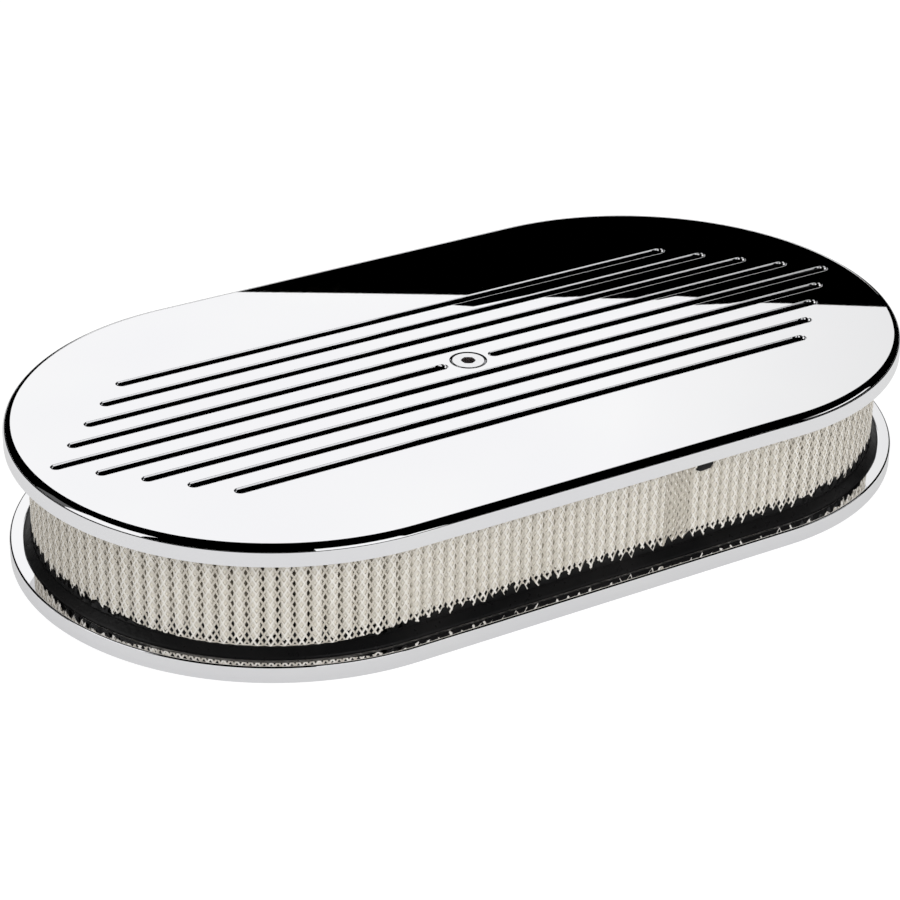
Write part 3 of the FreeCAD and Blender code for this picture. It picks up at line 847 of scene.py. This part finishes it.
def studio_floor():
    """White to the camera, greyer in the metal, and dark in it beyond the floor near the object."""
    material, finish = new_material("studio_floor")
    path = finish.add("ShaderNodeLightPath")
    seen = Shade(finish, path.outputs["Is Camera Ray"])
    mirrored = Shade(finish, path.outputs["Is Glossy Ray"])
    through = Shade(finish, path.outputs["Is Transmission Ray"])
    shadow = finish.add("ShaderNodeBsdfDiffuse", {}, {"Color": (0.33, 0.33, 0.33, 1)})
    glow = finish.add("ShaderNodeEmission", {}, {
        "Color": (1, 1, 1, 1),
        "Strength": 0.82 * seen + 0.44 * mirrored + 0.82 * through,
    })
    both = finish.add("ShaderNodeAddShader", {}, {0: shadow.outputs[0], 1: glow.outputs[0]})
    place = finish.add("ShaderNodeTexCoord").outputs["Object"]
    reach = finish.value("ShaderNodeVectorMath", "Value", {"operation": "LENGTH"}, {0: place})
    unlit = finish.add("ShaderNodeEmission", {}, {"Color": (0, 0, 0, 1), "Strength": 0.0})
    whole = finish.add("ShaderNodeMixShader", {}, {
        0: mirrored * reach.above(MIRRORED_FLOOR),
        1: both.outputs[0],
        2: unlit.outputs[0],
    })
    finish.add("ShaderNodeOutputMaterial", {}, {"Surface": whole.outputs[0]})
    return material


bpy.ops.object.select_all(action="DESELECT")
bpy.ops.mesh.primitive_grid_add(x_subdivisions=8, y_subdivisions=8, size=FLOOR_SIZE,
                                location=(0, 0, -FLOOR_DROP))
floor = bpy.context.object
floor.name = "studio_floor"
dress(floor, studio_floor())

world = bpy.data.worlds.new("studio")
scene.world = world
world.use_nodes = True
studio = Finish(world.node_tree)
rays = studio.add("ShaderNodeLightPath")
seen = Shade(studio, rays.outputs["Is Camera Ray"])
mirrored = Shade(studio, rays.outputs["Is Glossy Ray"])
through = Shade(studio, rays.outputs["Is Transmission Ray"])
heading = studio.add("ShaderNodeTexCoord").outputs["Generated"]
split = studio.add("ShaderNodeSeparateXYZ", {}, {"Vector": heading})
east, north, rise = (Shade(studio, split.outputs[axis]) for axis in "XYZ")
bearing = east.combine("ARCTAN2", east, north)


def window(west_side, east_side, foot, head):
    """A bright panel in the mirrored studio, between two bearings from +Y and two elevations."""
    sides = bearing.within(math.radians(west_side), math.radians(east_side))
    return sides * rise.within(math.sin(math.radians(foot)), math.sin(math.radians(head)))


# The back wall's panel has a slightly bowed sill and fades to the right. The strip below it, and the
# panels beside and behind the camera, draw the thin streaks in the grooves and along the rim.
from_crest = bearing - math.radians(32)
above_sill = rise.above(math.sin(math.radians(25)) - SILL_BOW * (from_crest * from_crest))
to_right = bearing - math.radians(36)
faded = 1 - FADE * to_right.combine("MAXIMUM", to_right, 0.0)
back_wall = window(19, 46, 20, 47) * above_sill * faded + window(19, 46, 6, 20)
left_panel = window(-97, -60, 3, 38) + 0.12 * window(-60, -42, 5, 30)
right_panel = window(152.5, 159, 0, 12) + window(159, 180, 0, 26) + window(-180, -165, 0, 26)
to_edge = (math.radians(142) - bearing) * 5.0
rear_panel = window(100, 142, 13.5, 22) * to_edge.combine("MINIMUM", to_edge, 1.0)
ground = rise.below(0.0)
plain = 1 - mirrored
strength = (plain * (seen + through + (1 - seen - through) * ROOM_LIGHT)
            + mirrored * (back_wall + left_panel + right_panel + rear_panel + ground * MIRRORED_GROUND))
backdrop = studio.add("ShaderNodeBackground", {}, {"Color": (1, 1, 1, 1), "Strength": strength})
studio.add("ShaderNodeOutputWorld", {}, {"Surface": backdrop.outputs[0]})


def soft_lamp(name, place, size, power):
    """A large panel of light aimed at the object, which its metal doesn't mirror."""
    lamp = bpy.data.lights.new(name, "AREA")
    lamp.shape = "SQUARE"
    lamp.size = size
    lamp.energy = power
    panel = bpy.data.objects.new(name, lamp)
    scene.collection.objects.link(panel)
    panel.location = place
    panel.rotation_euler = (Vector((0, 0, 0.03)) - Vector(place)).to_track_quat("-Z", "Y").to_euler()
    panel.visible_glossy = False


soft_lamp("left_lamp", (-1.3, -0.8, 0.6), 1.0, 6.0)
soft_lamp("right_lamp", (0.5, -1.6, 0.7), 1.0, 11.0)
soft_lamp("top_lamp", (0.0, 0.3, 1.8), 1.6, 6.0)


# The camera stands where the photograph was taken from, a long lens a little over a metre away.
EYE = Vector((-0.55061, -0.86268, 0.56468))
AXIS_X = Vector((0.851203, -0.524555, 0.017167))
AXIS_Y = Vector((0.234877, 0.409993, 0.881333))
AXIS_Z = AXIS_X.cross(AXIS_Y).normalized()
lens = bpy.data.cameras.new("photo_camera")
lens.sensor_width = 36.0
lens.lens = 111.67
lens.clip_start = 0.05
lens.clip_end = 50.0
camera = bpy.data.objects.new("photo_camera", lens)
scene.collection.objects.link(camera)
camera.matrix_world = Matrix((
    (AXIS_X.x, AXIS_Y.x, AXIS_Z.x, EYE.x),
    (AXIS_X.y, AXIS_Y.y, AXIS_Z.y, EYE.y),
    (AXIS_X.z, AXIS_Y.z, AXIS_Z.z, EYE.z),
    (0, 0, 0, 1),
))
scene.camera = camera
scene.view_settings.view_transform = "Standard"
